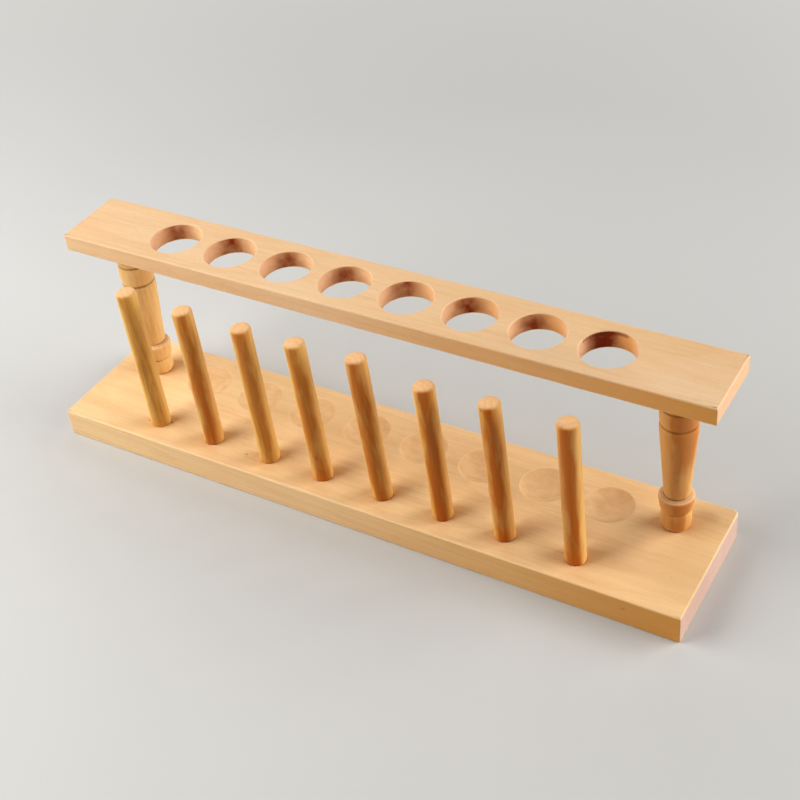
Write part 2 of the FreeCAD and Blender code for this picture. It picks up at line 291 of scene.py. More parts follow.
def board_outline(low, high, radii):
    """Points round a board's plan, anticlockwise from the +X side of its +X+Y corner, each with the
    direction that its side faces."""
    signs = ((1, 1), (-1, 1), (-1, -1), (1, -1))
    middle, half = (low + high) / 2, (high - low) / 2
    corners = []
    for number, ((sign_x, sign_y), radius) in enumerate(zip(signs, radii)):
        centre = middle + Vector((sign_x * (half.x - radius), sign_y * (half.y - radius), 0))
        arc = []
        for step in range(CORNER_STEPS + 1):
            angle = QUARTER * (number + step / CORNER_STEPS)
            facing = Vector((math.cos(angle), math.sin(angle), 0))
            arc.append((centre + facing * radius, facing))
        corners.append(arc)
    stations = []
    for number, arc in enumerate(corners):
        stations.extend(arc)
        start, facing = arc[-1]
        end = corners[(number + 1) % len(corners)][0][0]
        spans = round((end - start).length / EDGE_POINT_SPACING)
        for span in range(1, spans):
            stations.append((start.lerp(end, span / spans), facing))
    return stations


def hole_outline(centre, radius, points):
    """Points round a hole, clockwise, each with the direction that its wall faces."""
    stations = []
    for number in range(points):
        angle = -TURN * number / points
        outward = Vector((math.cos(angle), math.sin(angle), 0))
        stations.append((centre + outward * radius, -outward))
    return stations


def eased_profile():
    """A wall with both its edges eased, from the lower flat face to the upper one: the outward and
    upward shares of the normal, and which edge the row belongs to. The first and last rows lie on
    the flat faces, and the two in the middle bound the upright wall."""
    quarters = [QUARTER * step / EASING_STEPS for step in range(EASING_STEPS + 1)]
    below = [(math.sin(angle), -math.cos(angle), False) for angle in quarters]
    above = [(math.cos(angle), math.sin(angle), True) for angle in quarters]
    return below + above


def eased_wall(shell, stations, low, high, easing, amount, seed, cut_and_shade_amount=0.0):
    """A wall from one flat face to the other with both its edges eased, and marked up to this much for
    painted shade where a drill went through. Returns its lowest and highest rings, which lie on the flat
    faces."""
    rings = []
    profile = eased_profile()
    flat_rows = (0, len(profile) - 1)
    wall_rows = (EASING_STEPS, EASING_STEPS + 1)
    for number, (out, up, upper) in enumerate(profile):
        ring = []
        for place, facing in stations:
            shift = OTHER_EDGE if upper else Vector((0, 0, 0))
            ease = easing + amount * wander(place + shift, WANDER_LENGTH, seed)
            depth = (1 - abs(up)) * ease
            height = high - depth if upper else low + depth
            point = place - facing * ((1 - out) * ease)
            ring.append(
                shell.point(
                    Vector((point.x, point.y, height)),
                    facing * out + Vector((0, 0, up)),
                    # eased edges are marked for a paler tone, partly wear and partly painted highlight
                    edge=0.0 if number in flat_rows + wall_rows else 1.0,
                    # painted shade on a hole's wall, darker where it faces two opposite ways
                    cut_and_shade=painted_wall_shade(facing, cut_and_shade_amount) if cut_and_shade_amount and number in wall_rows else 0.0,
                )
            )
        rings.append(ring)
    shell.bridge_all(rings)
    return rings[0], rings[-1]


def painted_wall_shade(facing, most):
    """How much painted shade the part of a hole's wall that faces this way gets."""
    angle = math.atan2(facing.y, facing.x) - math.radians(WALL_SHADE_ANGLE)
    return WALL_SHADE_LEAST + (most - WALL_SHADE_LEAST) * abs(math.cos(angle)) ** WALL_SHADE_NARROWNESS


def pit(shell, rim, profile, points, sign, slant=Vector((0, 0, 0)), tear=None, cut_and_shade_amount=1.0, rim_rows=0):
    """A round blind pit in a flat face, from its rim to its bottom. The profile's rows are radius,
    depth, and the wall's inward and upward share of the normal. The first rim_rows rows are an eased
    rim, marked for a paler tone that is partly wear and partly painted highlight, and the others are
    marked this much for a darker tone that is partly tool marks and partly painted shade. Sign is 1
    for a pit in a top face and -1 for one in an underside. Returns the ring that lies on the face."""
    rings = []
    for number, (radius, depth, inward, upward) in enumerate(profile):
        centre = rim + slant * depth - Vector((0, 0, sign * depth))
        ring = []
        for step in range(points):
            angle = -sign * TURN * step / points
            outward = Vector((math.cos(angle), math.sin(angle), 0))
            reach = radius + (tear(outward, number) if tear else 0.0)
            ring.append(
                shell.point(
                    centre + outward * reach,
                    outward * -inward + Vector((0, 0, sign * upward)),
                    # an eased rim gets a paler tone, partly wear and partly painted highlight
                    edge=1.0 if 0 < number < rim_rows else 0.0,
                    cut_and_shade=0.0 if number <= rim_rows else cut_and_shade_amount,
                )
            )
        rings.append(ring)
    shell.bridge_all(rings[::-1] if sign > 0 else rings)
    last_radius, last_depth, last_inward, _ = profile[-1]
    bottom_depth = last_depth + last_radius * last_inward / 2
    bottom = rim + slant * bottom_depth - Vector((0, 0, sign * bottom_depth))
    shell.fan(rings[-1], shell.point(bottom, Vector((0, 0, sign)), cut_and_shade=cut_and_shade_amount))
    return rings[0]


def seat_profile():
    """An eased rim, then the round-bottomed hollow that a tube's end rests in."""
    sphere = (SEAT_RADIUS**2 + SEAT_DEPTH**2) / (2 * SEAT_DEPTH)
    steepest = math.asin(SEAT_RADIUS / sphere)
    rows = []
    for step in range(EASING_STEPS):
        angle = steepest * step / EASING_STEPS
        radius = SEAT_RADIUS + SEAT_EASING * (math.sin(steepest) - math.sin(angle))
        rows.append((radius, SEAT_EASING * (1 - math.cos(angle)), math.sin(angle), math.cos(angle)))
    rim_depth = SEAT_EASING * (1 - math.cos(steepest))
    for step in range(SEAT_RINGS):
        angle = steepest * (1 - step / SEAT_RINGS)
        depth = rim_depth + sphere * (math.cos(angle) - math.cos(steepest))
        rows.append((sphere * math.sin(angle), depth, math.sin(angle), math.cos(angle)))
    return rows


def drilled_profile(radius, depth, rim):
    """A short chamfer, then a straight wall."""
    return (
        (radius + rim, 0.0, 0.3, 1.0),
        (radius + rim * 0.4, rim * 0.3, 0.7, 0.7),
        (radius, rim, 1.0, 0.3),
        (radius, depth * 0.5, 1.0, 0.0),
        (radius, depth, 1.0, 0.0),
        (radius * 0.5, depth, 0.0, 1.0),
    )


def torn_rim(seed):
    """The ragged lip of a socket, where the drill tore fibres out along the grain."""

    def reach(outward, ring):
        if ring >= TEAR_RINGS:
            return 0.0
        along_grain = outward.x**2
        place = outward * TEAR_CIRCLE + Vector((0, 0, ring * TEAR_RING_RISE))
        ragged = max(0.0, wander(place, TEAR_LENGTH, seed))
        return SOCKET_TEAR * ragged * (TEAR_ACROSS_GRAIN + along_grain) * (1 - ring / TEAR_RINGS)

    return reach


def make_base_board(material):
    shell = Shell()
    outline = board_outline(BASE_LOW, BASE_HIGH, BASE_CORNERS)
    under, over = eased_wall(shell, outline, BASE_LOW.z, BASE_HIGH.z, EDGE_EASING, EDGE_WANDER, BASE_SEED)
    openings = []
    for hole, _, _, _ in TUBE_HOLES:
        rim = Vector((hole.x, hole.y, BASE_HIGH.z))
        seat = pit(shell, rim, seat_profile(), SEAT_POINTS, 1, cut_and_shade_amount=SEAT_SHADE, rim_rows=EASING_STEPS)
        openings.append(seat)
    for number, peg in enumerate(PEGS):
        axis = peg[1]
        slant = Vector((-axis.x / axis.z, -axis.y / axis.z, 0))
        profile = drilled_profile(SOCKET_RADIUS, SOCKET_DEPTH, SOCKET_RIM)
        openings.append(pit(shell, peg_foot(peg), profile, SOCKET_POINTS, 1, slant, torn_rim(number)))
    for foot in POST_FEET.values():
        profile = drilled_profile(MORTISE_RADIUS, MORTISE_DEPTH_BELOW, MORTISE_RIM)
        openings.append(pit(shell, foot, profile, SOCKET_POINTS, 1))
    shell.fill([over, *openings])
    shell.fill([under])
    add_piece(shell.finished("base_board_wood"), "base_board", material)


def make_top_board(material):
    shell = Shell()
    outline = board_outline(TOP_LOW, TOP_HIGH, TOP_CORNERS)
    under, over = eased_wall(shell, outline, TOP_LOW.z, TOP_HIGH.z, EDGE_EASING, EDGE_WANDER, TOP_SEED)
    unders, overs = [under], [over]
    for number, (hole, _, radius, _) in enumerate(TUBE_HOLES):
        stations = hole_outline(hole, radius, HOLE_POINTS)
        # painted shade on the hole walls, strongest in the darkest hole
        most = DARKEST_HOLE_SHADE if number == DARKEST_HOLE - 1 else 1.0
        lower, upper = eased_wall(
            shell, stations, TOP_LOW.z, TOP_HIGH.z, HOLE_EASING, HOLE_WANDER, HOLE_SEED + number, most
        )
        unders.append(lower)
        overs.append(upper)
    for foot in POST_FEET.values():
        rim = Vector((foot.x, foot.y, TOP_LOW.z))
        profile = drilled_profile(MORTISE_RADIUS, MORTISE_DEPTH_ABOVE, MORTISE_RIM)
        unders.append(pit(shell, rim, profile, SOCKET_POINTS, -1))
    shell.fill(overs)
    shell.fill(unders)
    add_piece(shell.finished("top_board_wood"), "top_board", material)


# ---------------------------------------------------------------- turned pieces


def turned_mesh(name, profile, points, unevenness, seed, grooves=()):
    """A round piece upright on its own origin. The profile runs up the axis: radius and height."""
    shell = Shell()
    rings = []
    for radius, height in profile:
        # a groove's darker tone is partly dust and partly painted shade
        cut_and_shade = 1.0 if any(abs(height - groove) < GROOVE_HALF_WIDTH for groove in grooves) else 0.0
        ring = []
        for step in range(points):
            angle = TURN * step / points
            outward = Vector((math.cos(angle), math.sin(angle), 0))
            place = outward * radius + Vector((0, 0, height / TURNED_WANDER_STRETCH))
            reach = radius + unevenness * wander(place, TURNED_WANDER_LENGTH, seed)
            ring.append(shell.point(outward * reach + Vector((0, 0, height)), cut_and_shade=cut_and_shade))
        rings.append(ring)
    shell.bridge_all(rings)
    for ring, (_, height) in ((rings[0], profile[0]), (rings[-1], profile[-1])):
        shell.fan(ring, shell.point(Vector((0, 0, height))))
    return shell.finished(name)


def fine_profile(outline, step):
    """The outline with a point at least every step, and its round stretches bulged."""
    rows = [outline[0][:2]]
    for (radius, height, _), (next_radius, next_height, bulge) in zip(outline, outline[1:]):
        spans = max(1, math.ceil(math.dist((radius, height), (next_radius, next_height)) / step))
        for span in range(1, spans + 1):
            share = span / spans
            swell = 0.0
            if bulge:
                swell = (bulge - (radius + next_radius) / 2) * (1 - (2 * share - 1) ** 2)
            across = radius + (next_radius - radius) * share + swell
            rows.append((across, height + (next_height - height) * share))
    return rows


def softened(rows, passes):
    """The same profile with its corners rubbed down, as sandpaper leaves turned work."""
    for _ in range(passes):
        rows = [
            rows[0],
            *[
                tuple((before[axis] + 2 * here[axis] + after[axis]) / 4 for axis in (0, 1))
                for before, here, after in zip(rows, rows[1:], rows[2:])
            ],
            rows[-1],
        ]
    return rows


def make_post(side, material):
    seed = POST_SEEDS[side]
    moved = RIGHT_HEIGHTS if side == "right" else {}
    outline = [(radius, moved.get(height, height), bulge) for radius, height, bulge in POST_OUTLINE]
    grooves = [moved.get(height, height) for height in POST_GROOVES]
    profile = softened(fine_profile(outline, POST_STEP), POST_SOFTENING)
    data = turned_mesh(f"{side}_post_turned", profile, POST_POINTS, POST_UNEVENNESS, seed, grooves)
    place = Matrix.Translation(POST_FEET[side] * MM) @ Matrix.Rotation(seed * POST_TURN, 4, "Z")
    add_piece(data, f"{side}_post", material, place)


def peg_profile(radius, height):
    """A thin glued end, the shank, and a rounded rim about a top that's hardly crowned."""
    across, along = PEG_TENON_CHAMFER
    rows = [(PEG_TENON_RADIUS - across, -PEG_TENON_LENGTH), (PEG_TENON_RADIUS, along - PEG_TENON_LENGTH)]
    neck_height, narrower = PEG_NECK
    rows += [(PEG_TENON_RADIUS, PEG_TENON_TOP), (radius - narrower, neck_height), (radius, PEG_SHANK_START)]
    shank_end = height - PEG_DOME
    for span in range(1, PEG_SPANS + 1):
        rows.append((radius, PEG_SHANK_START + (shank_end - PEG_SHANK_START) * span / PEG_SPANS))
    for step in range(1, PEG_DOME_STEPS + 1):
        angle = QUARTER * step / PEG_DOME_STEPS
        inset, rise = PEG_DOME * (1 - math.cos(angle)), (PEG_DOME - PEG_CROWN) * math.sin(angle)
        rows.append((radius - inset, shank_end + rise))
    for share in PEG_CROWN_SHARES:
        rows.append(((radius - PEG_DOME) * share, height - PEG_CROWN * share**2))
    return rows


def make_peg(number, peg, material):
    _, axis, radius, length = peg
    profile = peg_profile(radius, length + PEG_SHANK_START + PEG_DOME)
    data = turned_mesh(f"peg_{number}_dowel", profile, PEG_POINTS, PEG_UNEVENNESS, PEG_SEED + number)
    tilt = Vector((0, 0, 1)).rotation_difference(axis).to_matrix().to_4x4()
    place = Matrix.Translation(peg_foot(peg) * MM) @ tilt @ Matrix.Rotation(number * PEG_TURN, 4, "Z")
    add_piece(data, f"peg_{number}", material, place)


# ---------------------------------------------------------------- wood


def colour(red, green, blue):
    """A colour as a screen shows it, 0 to 255, turned into the linear values that shaders take."""
    linear = []
    for value in (red, green, blue):
        share = value / 255
        linear.append(share / 12.92 if share <= 0.04045 else ((share + 0.055) / 1.055) ** 2.4)
    return (*linear, 1.0)


class Net:
    """Short calls for the nodes of one material."""

    def __init__(self, material):
        self.tree = material.node_tree
        self.tree.nodes.clear()

    def node(self, kind, inputs, **settings):
        made = self.tree.nodes.new("ShaderNode" + kind)
        for name, value in settings.items():
            setattr(made, name, value)
        for socket, value in inputs.items():
            if isinstance(value, bpy.types.NodeSocket):
                self.tree.links.new(value, made.inputs[socket])
            else:
                made.inputs[socket].default_value = value
        return made

    def math(self, operation, *values):
        return self.node("Math", dict(enumerate(values)), operation=operation).outputs[0]

    def vector(self, operation, *values):
        made = self.node("VectorMath", dict(enumerate(values)), operation=operation)
        return made.outputs["Value" if operation in ("LENGTH", "DOT_PRODUCT") else "Vector"]

    def noise(self, place, figure):
        """One of the noises that draw the wood."""
        along, across, detail, roughness = FIGURE[figure]
        stretched = self.vector("MULTIPLY", place, (along, across, across))
        inputs = {"Vector": stretched, "Scale": 1.0, "Detail": detail, "Roughness": roughness}
        return self.node("TexNoise", inputs).outputs["Fac"]

    def spread(self, value, low, high, start=0.0, end=1.0):
        """Value from low to high becomes start to end, and no further."""
        inputs = {"Value": value, "From Min": low, "From Max": high, "To Min": start, "To Max": end}
        return self.node("MapRange", inputs).outputs["Result"]

    def mix(self, share, first, second, blend="MIX"):
        """Two colours mixed. The Mix node's sockets for colours are these."""
        inputs = {0: share, 6: first, 7: second}
        return self.node("Mix", inputs, data_type="RGBA", blend_type=blend).outputs[2]

    def mark(self, name):
        """A mark that the mesh's points carry."""
        return self.node("Attribute", {}, attribute_name=name).outputs["Fac"]


# The noises that draw the wood: features per millimetre along the grain and across it, detail and
# roughness.
FIGURE = {
    "clouds": (0.012, 0.05, 3.0, 0.5),
    "drift": (0.02, 0.07, 2.0, 0.5),
    "blotches": (0.05, 0.11, 4.0, 0.6),
    "streaks": (0.022, 0.55, 5.0, 0.62),
    "fibres": (0.09, 3.4, 3.0, 0.6),
    "pores": (0.42, 4.6, 1.0, 0.5),
    "bend_across": (0.012, 0.03, 2.0, 0.5),
    "bend_deep": (0.008, 0.03, 2.0, 0.5),
    "ring_widths": (0.004, 0.12, 1.0, 0.5),
    "ragged_shade_edge": (0.06, 0.3, 3.0, 0.5),
    "end_dots": (3.2, 3.2, 1.0, 0.5),
    "saw_marks": (0.5, 1.1, 3.0, 0.7),
    "cut_and_shade_patches": (0.2, 0.2, 2.0, 0.5),
}
LOG_REACH = 400.0  # how far a piece may lie from the middle of its log, in millimetres each way

SHEEN = 0.22  # bare wood hardly shines
BUMP_STRENGTH = 0.5
BUMP_DEPTH = 0.00007  # in metres
ROUGHNESS = (0.5, 0.62)
PAINTED_FRONT_SHADE = (-10.0, 145.0, 0.8)  # painted shade: the boards' front faces turn darker and more orange from here to here, towards the right, and how much

# The tones of each kind of piece, as screen colours, how strong its figure is, and where it sits in
# its log: the pith's place across the grain, and how far the pith falls for each millimetre along it.
BASE_BOARD = {
    "grain": "X",
    "pale": (246, 213, 164),
    "warm": (236, 194, 142),
    "line": (210, 156, 98),
    "rosy": (238, 192, 146),
    "pore": (172, 116, 68),
    # darker tone for drilled walls, seats and grooves, partly tool marks and partly painted shade
    "cut_and_shade": (158, 66, 10),
    # deeper painted shade in the darkest of those places
    "deep_shade": (84, 24, 2),
    "speck_and_shade": (172, 116, 68),
    "end": (196, 168, 166),
    "end_ring_strength": 0.3,
    # painted shade on the boards' front faces
    "amber": (218, 148, 44),
    "ring_spacing": 4.2,
    "ring_strength": 0.13,
    "streak_strength": 0.2,
    "pore_strength": 0.22,
    "cut_and_shade_strength": 0.72,
    "pith": (12.0, -58.0),
    "fall": 0.05,
}
TOP_BOARD = {
    **BASE_BOARD,
    "pale": (236, 203, 164),
    "warm": (228, 187, 140),
    "rosy": (234, 190, 150),
    "end": (222, 178, 142),
    "speck_and_shade": (112, 50, 14),
}
POST = {
    **BASE_BOARD,
    "grain": "Z",
    "pale": (242, 206, 144),
    "warm": (202, 130, 58),
    "line": (184, 104, 36),
    "rosy": (222, 158, 90),
    # darker tone in the grooves, partly dust and partly painted shade
    "cut_and_shade": (140, 76, 28),
    "end": (244, 202, 162),
    # painted shade on one side of a turned piece, and painted light round the rest
    "painted_shade": (184, 100, 22),
    "painted_light": (240, 202, 138),
    "painted_light_strength": 0.35,
    "end_ring_strength": 0.15,
    "ring_spacing": 2.4,
    "ring_strength": 0.08,
    "streak_strength": 0.26,
    "pore_strength": 0.14,
    "cut_and_shade_strength": 0.42,
    "pith": (16.0, -9.0),
    "fall": 0.04,
}
PEG = {
    **POST,
    "pale": (228, 178, 92),
    "warm": (200, 124, 48),
    "line": (140, 76, 24),
    "rosy": (212, 142, 74),
    "end": (242, 196, 150),
    "end_ring_strength": 0.12,
    # painted shade on one side of a dowel, and painted light round the rest
    "painted_shade": (196, 100, 10),
    "painted_light": (244, 204, 132),
    "painted_light_strength": 0.56,
    "ring_spacing": 2.0,
    "ring_strength": 0.2,
    "streak_strength": 0.55,
    "pore_strength": 0.3,
    "pith": (7.0, -11.0),
    "fall": 0.03,
}
WOOD_SEEDS = {"base": 11, "top": 12, "post": 30, "peg": 40}  # posts and pegs count up from theirs
POST_WARMTH = {"left": -0.8, "right": 0.5}
POST_PAINTED_SHADE = {"left": (36.0, 0.0), "right": (42.0, 0.4)}  # as for the pegs below
PEG_WARMTH = (-0.9, 0.4, -0.4, 0.3, 0.4, 0.8, 0.8, 0.9)
# Each dowel gets painted shade on one side, where the two side lamps leave it in shade, and painted
# light round the rest: azimuth as for the lights, and strength of the painted shade.
PEG_PAINTED_SHADE = (
    (28.0, 0.12),
    (28.0, 0.45),
    (26.0, 0.42),
    (24.0, 0.45),
    (22.0, 0.4),
    (22.0, 0.65),
    (18.0, 0.72),
    (14.0, 0.65),
)

# Specks and bruises on a board, and broad patches of painted shade, in the part's frame: place, length along
# the grain, width, strength.
BASE_SPECKS_AND_SHADE = (
    ((-50.5, -20.5, 12.5), 1.0, 0.6, 0.6),
    ((-102.0, -19.6, 12.5), 1.3, 0.5, 0.5),
    ((-92.0, -16.8, 12.5), 0.9, 0.7, 0.8),
    ((119.0, -29.5, 8.0), 1.5, 0.6, 0.6),
    ((131.0, 22.0, 12.5), 6.0, 3.5, 0.22),
    # painted shade on the base's top at its right front
    ((112.0, -14.0, 12.5), 60.0, 22.0, 0.18),
    # painted shadow of the top board on the base under it
    ((0.0, 12.0, 12.5), 90.0, 16.0, 0.12),
)
TOP_SPECKS = (((82.0, 3.0, 87.0), 40.0, 8.0, 0.1),)
# Streaks on the right post and on the pegs, and on pegs 5, 7 and 8 a long painted shade down the
# left side: azimuth as for the lights, height above the board, length, width, strength.
POST_SPECKS = {
    "left": (),
    "right": (
        (62.0, 40.0, 15.0, 2.6, 0.35),
        (20.0, 30.0, 18.0, 1.6, 0.25),
        (45.0, 54.0, 7.0, 4.0, 0.3),
    ),
}
PEG_SPECKS_AND_SHADE = {
    1: ((30.0, 31.0, 9.0, 1.4, 0.35),),
    4: ((22.0, 12.0, 1.8, 1.0, 0.9),),
    5: ((50.0, 20.0, 12.0, 1.2, 0.35), (-30.0, 50.0, 30.0, 2.4, 0.25)),
    6: ((10.0, 59.5, 1.4, 1.0, 0.8), (35.0, 40.0, 14.0, 1.3, 0.45)),
    7: ((-20.0, 62.6, 0.9, 0.9, 0.8), (38.0, 52.0, 9.0, 1.1, 0.5), (-30.0, 30.0, 50.0, 2.4, 0.25)),
    8: ((40.0, 45.0, 16.0, 1.2, 0.35), (-28.0, 34.0, 60.0, 3.0, 0.45)),
}


def facing_way(azimuth, turn):
    """The way an azimuth points in the log of a turned piece, whose grain comes first."""
    around = math.radians(azimuth) - QUARTER - turn
    return Vector((0, math.cos(around), math.sin(around)))


def turned_specks_and_shade(specks, radius, turn):
    """Specks on a turned piece, and streaks of painted shade, in its log."""
    found = []
    for azimuth, height, length, width, strength in specks:
        place = Vector((height, 0, 0)) + facing_way(azimuth, turn) * radius
        found.append((place, length, width, strength))
    return found


def painted_shade_of(azimuth_and_strength, radius, turn):
    """A turned piece's painted shade: the way towards it, 1 long at the surface, and its strength."""
    azimuth, strength = azimuth_and_strength
    return facing_way(azimuth, turn) / radius, strength


def rim_shade_marks():
    """Small marks of painted shade side by side round a hole's wall, just under its rim."""
    centre, _, radius, length = TUBE_HOLES[DARKEST_HOLE - 1]
    marks = []
    for angle in RIM_SHADE_ARC:
        outward = Vector((math.cos(math.radians(angle)), math.sin(math.radians(angle)), 0))
        place = centre + outward * radius + Vector((0, 0, length / 2 - RIM_SHADE_DROP))
        marks.append((place, *RIM_SHADE_MARK))
    return marks


def grain_place(net, grain, offset):
    """The surface's place in its log, in millimetres: along the grain, then two ways across it."""
    source = net.node("TexCoord", {}).outputs["Object"]
    scaled = net.vector("SCALE", source)
    scaled.node.inputs["Scale"].default_value = 1 / MM
    if grain == "Z":
        axes = net.node("SeparateXYZ", {0: scaled}).outputs
        scaled = net.node("CombineXYZ", {0: axes["Z"], 1: axes["X"], 2: axes["Y"]}).outputs[0]
    return scaled, net.vector("ADD", scaled, offset)


def growth_rings(net, plain, place, look):
    """Thin dark late-wood lines round the pith, which lies outside the piece and falls along it."""
    bend_across = net.spread(net.noise(place, "bend_across"), 0.25, 0.75, -4.0, 4.0)
    elsewhere = net.vector("ADD", place, (90, 40, 10))
    bend_deep = net.spread(net.noise(elsewhere, "bend_deep"), 0.25, 0.75, -5.0, 5.0)
    axes = net.node("SeparateXYZ", {0: plain}).outputs
    across = net.math("ADD", net.math("SUBTRACT", axes[1], look["pith"][0]), bend_across)
    above_pith = net.math("MULTIPLY_ADD", axes[0], look["fall"], -look["pith"][1])
    deep = net.math("ADD", net.math("ADD", axes[2], above_pith), bend_deep)
    reach = net.vector("LENGTH", net.node("CombineXYZ", {0: across, 1: deep, 2: 0.0}).outputs[0])
    years = net.math("DIVIDE", reach, look["ring_spacing"])
    uneven = net.math("ADD", years, net.spread(net.noise(place, "ring_widths"), 0.2, 0.8, -0.9, 0.9))
    share = net.math("FRACT", uneven)
    rising = net.spread(share, 0.25, 0.9)
    falling = net.spread(share, 0.93, 1.0, 1.0, 0.0)
    return net.math("MULTIPLY", net.math("MULTIPLY", rising, rising), falling)


def speck_and_shade_share(net, plain, specks_and_shade):
    """Small knots and bruises, and patches of painted shade: each has a place, a length, a width and a
    strength.
    """
    total = None
    for centre, length, width, strength in specks_and_shade:
        scale = (1 / length, 1 / width, 1 / width)
        away = net.vector("MULTIPLY", net.vector("SUBTRACT", plain, centre), scale)
        share = net.spread(net.vector("LENGTH", away), 0.3, 1.0, strength, 0.0)
        total = share if total is None else net.math("MAXIMUM", total, share)
    return total


def wood_tones(net, place, look, warmth, fields):
    """The colour of a long-grain surface."""
    tones = {tone: colour(*look[tone]) for tone in ("pale", "warm", "line", "rosy", "pore")}
    clouds = net.noise(place, "clouds")
    middle = 0.5 + 0.45 * warmth
    tone = net.spread(clouds, 0.3, 0.7, max(0.0, middle - 0.3), min(1.0, middle + 0.3))
    surface = net.mix(tone, tones["pale"], tones["warm"])
    drift = net.noise(net.vector("ADD", place, (31, 77, 5)), "drift")
    surface = net.mix(net.spread(drift, 0.45, 0.75, 0.0, 0.4), surface, tones["rosy"])
    streak = net.spread(fields["streaks"], 0.45, 0.78, 0.0, look["streak_strength"])
    surface = net.mix(streak, surface, tones["line"])
    surface = net.mix(net.math("MULTIPLY", fields["rings"], look["ring_strength"]), surface, tones["line"])
    shade = net.spread(fields["fibres"], 0.25, 0.75, 0.93, 1.04)
    grey = net.node("CombineColor", {0: shade, 1: shade, 2: shade}).outputs[0]
    surface = net.mix(1.0, surface, grey, "MULTIPLY")
    pores = net.math("MULTIPLY", fields["pores"], look["pore_strength"])
    surface = net.mix(pores, surface, tones["pore"])
    blotches = net.noise(place, "blotches")
    return net.mix(net.spread(blotches, 0.6, 0.8, 0.0, 0.1), surface, tones["pore"])


def painted_shade_and_light(net, plain, place, surface, look, painted_shade):
    """Painted shade on one side of a turned piece, and a paler tone round the rest as painted light."""
    towards_painted_shade, strength = painted_shade
    depth = net.vector("DOT_PRODUCT", plain, towards_painted_shade)
    ragged = net.spread(net.noise(place, "ragged_shade_edge"), 0.3, 0.7, -0.2, 0.2)
    depth = net.math("ADD", depth, ragged)
    painted_light = net.spread(depth, 0.4, 0.95, look["painted_light_strength"], 0.0)
    surface = net.mix(painted_light, surface, colour(*look["painted_light"]))
    return net.mix(net.spread(depth, 0.78, 0.98, 0.0, strength), surface, colour(*look["painted_shade"]))


def end_grain(net, plain, look, fields):
    """The colour across the grain, where the rings show as arcs and the pores as dots."""
    tones = {tone: colour(*look[tone]) for tone in ("end", "line", "pore", "warm")}
    arcs = net.math("MULTIPLY", fields["rings"], look["end_ring_strength"])
    surface = net.mix(arcs, tones["end"], tones["line"])
    dots = net.spread(net.noise(plain, "end_dots"), 0.58, 0.72, 0.0, 0.3)
    surface = net.mix(dots, surface, tones["pore"])
    saw_marks = net.spread(net.noise(plain, "saw_marks"), 0.5, 0.8, 0.0, 0.22)
    return net.mix(saw_marks, surface, tones["warm"])


def worked_tones(net, plain, surface, look, fields, specks_and_shade):
    """The same colour with the end grain, and with painted shade that makes a board's front face darker
    and more orange towards the right; drilled walls, seats and grooves darker, partly as tool marks and
    partly as painted shade; eased edges paler, partly as wear and partly as painted highlight; and
    specks, some of them painted shade."""
    tones = {tone: colour(*look[tone]) for tone in ("pale", "cut_and_shade", "deep_shade", "speck_and_shade", "amber")}
    facing = net.node("SeparateXYZ", {0: net.node("TexCoord", {}).outputs["Normal"]}).outputs
    across_grain = net.spread(net.math("ABSOLUTE", facing[look["grain"]]), 0.5, 0.95, 0.0, 0.8)
    cut_and_shade = net.mark("cut_and_shade")
    if look["grain"] == "X":
        along = net.node("SeparateXYZ", {0: plain}).outputs["X"]
        # painted shade: a board's front face darker and more orange towards the right
        on_front = net.spread(facing["Y"], -0.95, -0.6, 1.0, 0.0)
        on_front = net.math("MULTIPLY", on_front, net.math("SUBTRACT", 1.0, cut_and_shade))
        start, end, most = PAINTED_FRONT_SHADE
        front = net.math("MULTIPLY", on_front, net.spread(along, start, end, 0.0, most))
        surface = net.mix(front, surface, tones["amber"])
    surface = net.mix(across_grain, surface, end_grain(net, plain, look, fields))
    # drilled walls, seats and grooves darker, partly tool marks and partly painted shade
    cut_and_shade_amount = net.math("MULTIPLY", cut_and_shade, net.math("MULTIPLY_ADD", across_grain, -0.5, look["cut_and_shade_strength"]))
    uneven = net.spread(net.noise(plain, "cut_and_shade_patches"), 0.35, 0.65, 0.45, 1.55)
    cut_and_shade_amount = net.math("MULTIPLY", cut_and_shade_amount, uneven)
    surface = net.mix(cut_and_shade_amount, surface, tones["cut_and_shade"])
    # deeper painted shade where the darker mark is strongest
    surface = net.mix(net.spread(cut_and_shade, 0.5, 1.7, 0.0, 0.45), surface, tones["deep_shade"])
    # eased edges paler, partly wear and partly painted highlight
    surface = net.mix(net.math("MULTIPLY", net.mark("edge"), 0.4), surface, tones["pale"])
    # specks, some of them painted shade
    if specks_and_shade:
        surface = net.mix(speck_and_shade_share(net, plain, specks_and_shade), surface, tones["speck_and_shade"])
    return surface


